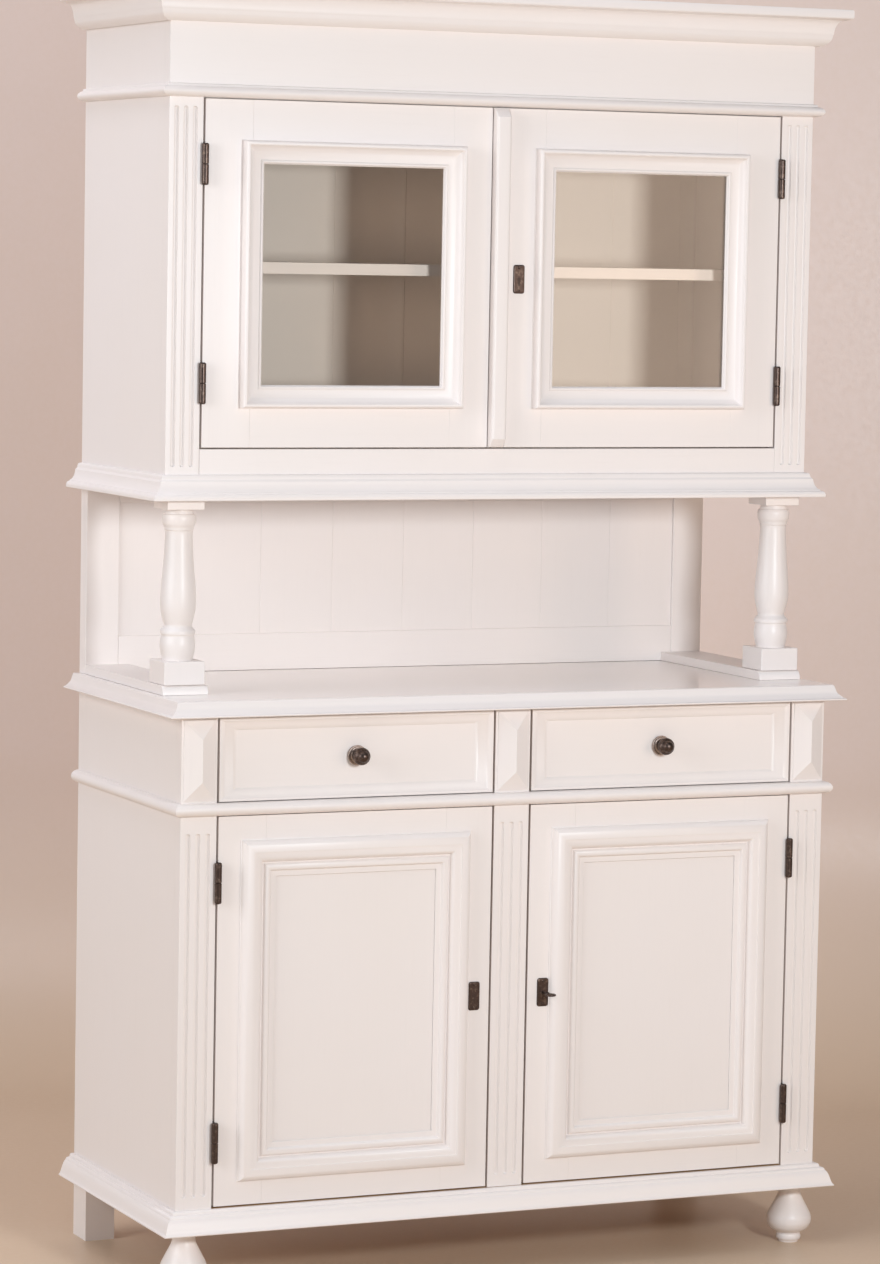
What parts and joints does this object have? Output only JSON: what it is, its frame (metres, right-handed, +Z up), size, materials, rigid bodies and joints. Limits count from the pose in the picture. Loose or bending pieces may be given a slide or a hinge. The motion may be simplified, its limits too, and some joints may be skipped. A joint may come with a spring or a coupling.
{
  "type": "buffet cabinet",
  "caption": "Painted two-part buffet cabinet: panelled doors under drawers, an open niche with turned posts, and a glazed upper cupboard with a crown moulding.",
  "frame": {"origin": "on the floor, under the middle of the overall box", "axes": "+Z up, front towards -Y, +X to the right when facing the front"},
  "size_m": [1.2236, 0.515, 2.04],
  "materials": {
    "painted_front": "off-white satin paint",
    "painted_side": "off-white satin paint, duller",
    "bare_wood": "bare pine, waxed",
    "dark_metal": "dark aged",
    "glass": "clear"
  },
  "bodies": {
    "carcass": {"base_back": "bare_wood", "base_bottom": "bare_wood", "base_centre_stile": "painted_front", "base_left_stile": "painted_front", "base_moulding": "painted_front", "base_right_stile": "painted_front", "base_shelf": "bare_wood", "counter_top": "painted_front", "crown": "painted_front", "dust_board": "bare_wood", "frieze": "painted_front", "front_left_foot": "painted_front", "front_right_foot": "painted_front", "left_base_side": "painted_side", "left_niche_board": "painted_front", "left_niche_post": "painted_front", "left_upper_side": "painted_side", "left_upper_stile": "painted_front", "lower_left_bottom_hinge": "dark_metal", "lower_left_top_hinge": "dark_metal", "lower_right_bottom_hinge": "dark_metal", "lower_right_top_hinge": "dark_metal", "rear_left_foot": "painted_front", "rear_right_foot": "painted_front", "right_base_side": "painted_side", "right_niche_board": "painted_front", "right_niche_post": "painted_front", "right_upper_side": "painted_side", "right_upper_stile": "painted_front", "upper_back": "painted_front", "upper_base_moulding": "painted_front", "upper_bottom": "painted_front", "upper_left_bottom_hinge": "dark_metal", "upper_left_top_hinge": "dark_metal", "upper_right_bottom_hinge": "dark_metal", "upper_right_top_hinge": "dark_metal", "upper_shelf": "painted_front", "waist_moulding": "painted_front"},
    "upper_left_door": {"upper_left_door_frame": "painted_front", "upper_left_glass": "glass"},
    "upper_right_door": {"upper_right_door_frame": "painted_front", "upper_right_glass": "glass", "meeting_strip": "painted_front", "upper_right_lock": "dark_metal"},
    "upper_right_bolt": {"upper_right_lock_bolt": "dark_metal"},
    "lower_left_door": {"lower_left_door_frame": "painted_front", "lower_left_door_panel": "painted_front", "lower_left_lock": "dark_metal"},
    "lower_left_bolt": {"lower_left_lock_bolt": "dark_metal"},
    "lower_right_door": {"lower_right_door_frame": "painted_front", "lower_right_door_panel": "painted_front", "lower_right_lock": "dark_metal"},
    "lower_right_bolt": {"lower_right_lock_bolt": "dark_metal"},
    "key": {"key": "dark_metal"},
    "left_drawer": {"left_drawer_front": "painted_front", "left_drawer_box": "bare_wood", "left_drawer_knob": "dark_metal"},
    "right_drawer": {"right_drawer_front": "painted_front", "right_drawer_box": "bare_wood", "right_drawer_knob": "dark_metal"}
  },
  "joints": [
    {"name": "lower_left_door_swing", "type": "hinge", "parent": "carcass", "child": "lower_left_door", "pos_m": [-0.5032, -0.2233, 0.445], "axis": [0, 0, -1], "range_deg": [0, 115]},
    {"name": "lower_right_door_swing", "type": "hinge", "parent": "carcass", "child": "lower_right_door", "pos_m": [0.5032, -0.2233, 0.445], "axis": [0, 0, 1], "range_deg": [0, 115]},
    {"name": "upper_left_door_swing", "type": "hinge", "parent": "carcass", "child": "upper_left_door", "pos_m": [-0.5066, -0.1348, 1.592], "axis": [0, 0, -1], "range_deg": [0, 115]},
    {"name": "upper_right_door_swing", "type": "hinge", "parent": "carcass", "child": "upper_right_door", "pos_m": [0.5066, -0.1348, 1.592], "axis": [0, 0, 1], "range_deg": [0, 115]},
    {"name": "left_drawer_slide", "type": "slide", "parent": "carcass", "child": "left_drawer", "axis": [0, -1, 0], "range_m": [0, 0.3]},
    {"name": "right_drawer_slide", "type": "slide", "parent": "carcass", "child": "right_drawer", "axis": [0, -1, 0], "range_m": [0, 0.3]},
    {"name": "lower_left_bolt_slide", "type": "slide", "parent": "lower_left_door", "child": "lower_left_bolt", "axis": [1, 0, 0], "range_m": [0, 0.01]},
    {"name": "lower_right_bolt_slide", "type": "slide", "parent": "lower_right_door", "child": "lower_right_bolt", "axis": [-1, 0, 0], "range_m": [0, 0.01]},
    {"name": "upper_right_bolt_slide", "type": "slide", "parent": "upper_right_door", "child": "upper_right_bolt", "axis": [-1, 0, 0], "range_m": [0, 0.01]},
    {"name": "key_turn", "type": "hinge", "parent": "lower_right_door", "child": "key", "pos_m": [0.0607, -0.2175, 0.449], "axis": [0, 1, 0], "range_deg": [0, 90]}
  ],
  "couplings": [
    {"joint": "key_turn", "follows": "lower_right_bolt_slide", "rad_per_m": 157.07}
  ]
}
